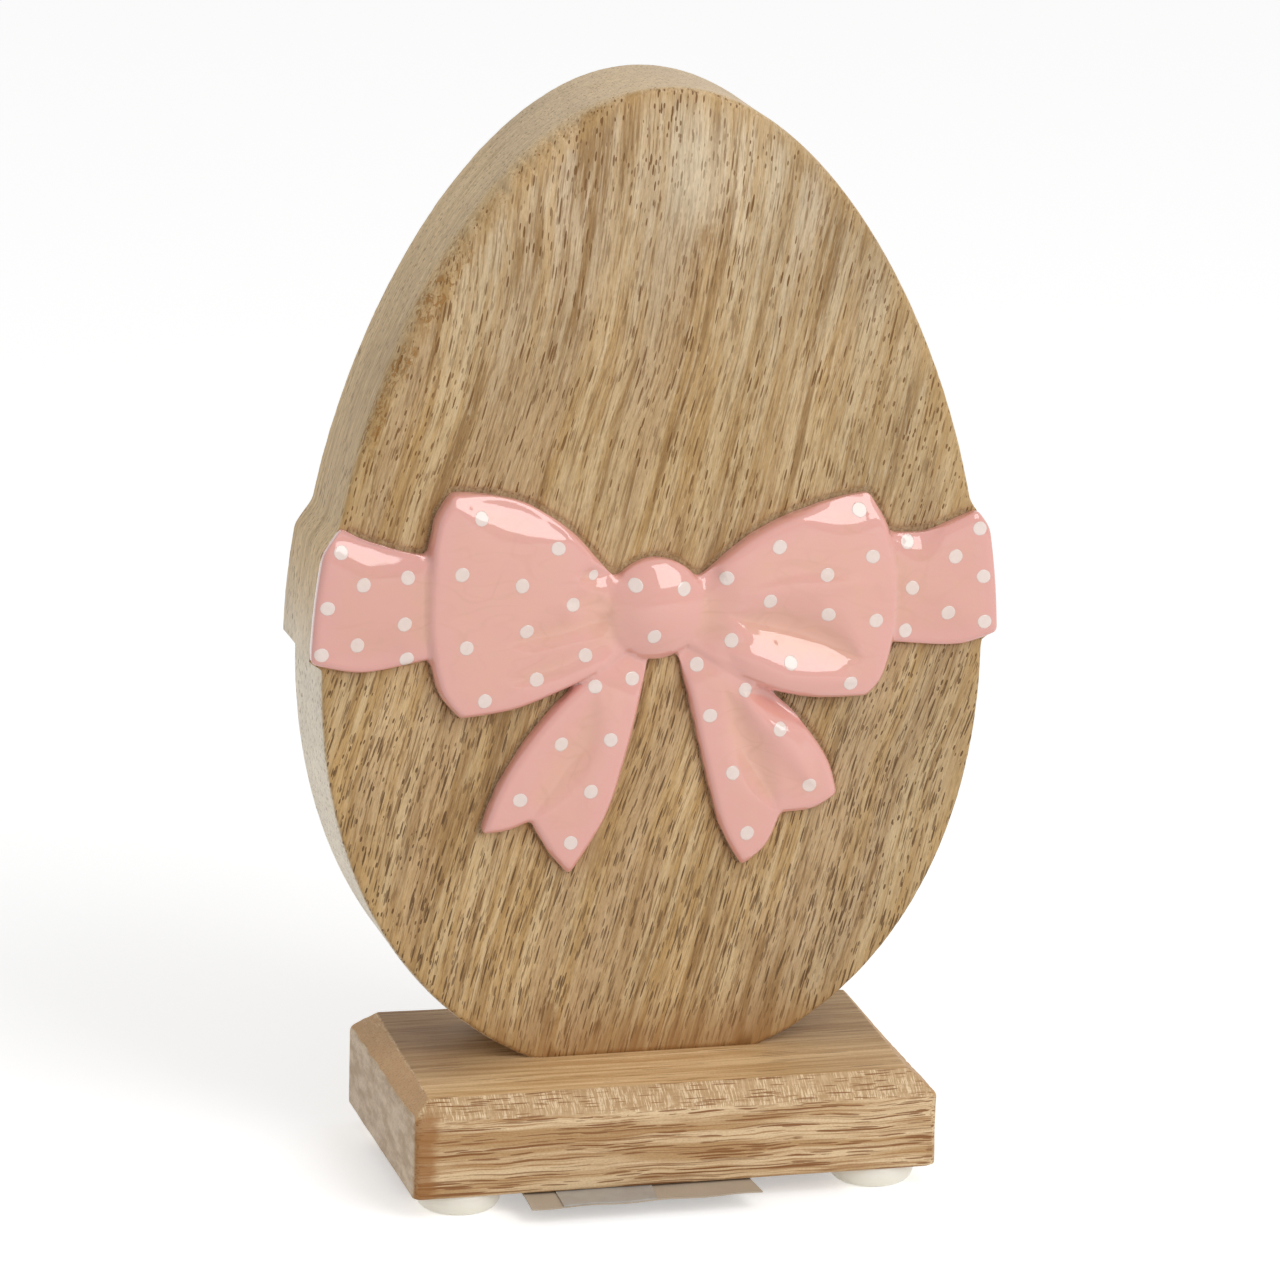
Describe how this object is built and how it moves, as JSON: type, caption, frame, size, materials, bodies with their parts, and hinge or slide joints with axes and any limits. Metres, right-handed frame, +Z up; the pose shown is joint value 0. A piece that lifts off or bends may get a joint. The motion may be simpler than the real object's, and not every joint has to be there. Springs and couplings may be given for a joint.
{
  "type": "wooden egg on stand",
  "caption": "Upright egg-shaped wooden slab with a carved and enamelled ribbon bow across its face, screwed to a chamfered rectangular base on clear pads.",
  "frame": {"origin": "middle of the footprint, on the surface that the pads stand on; the footprint is the base and the front edge of the paper strip under it", "axes": "+Z up, +X to the right of someone looking at the bow, +Y to the back, so the bow faces -Y"},
  "size_m": [0.1274, 0.0618, 0.2],
  "materials": {
    "egg_wood": "light mango wood, sanded and waxed, with short dark pores",
    "base_wood": "light mango wood, sanded and waxed, with long brown streaks",
    "pink_enamel": "thick glossy pink enamel",
    "white_dots": "cream white dots under the gloss",
    "zinc_steel": "zinc plated",
    "clear_silicone": "clear, slightly milky",
    "plain_paper": "matt grey beige",
    "clear_tape": "clear gloss"
  },
  "bodies": {
    "root": {"egg_body": "egg_wood", "bow_enamel": "pink_enamel", "base_plinth": "base_wood", "mounting_screw_left": "zinc_steel", "mounting_screw_right": "zinc_steel", "foot_pad_front_left": "clear_silicone", "foot_pad_front_right": "clear_silicone", "foot_pad_back_left": "clear_silicone", "foot_pad_back_right": "clear_silicone", "underside_label": "plain_paper", "label_tape": "clear_tape"}
  },
  "joints": []
}
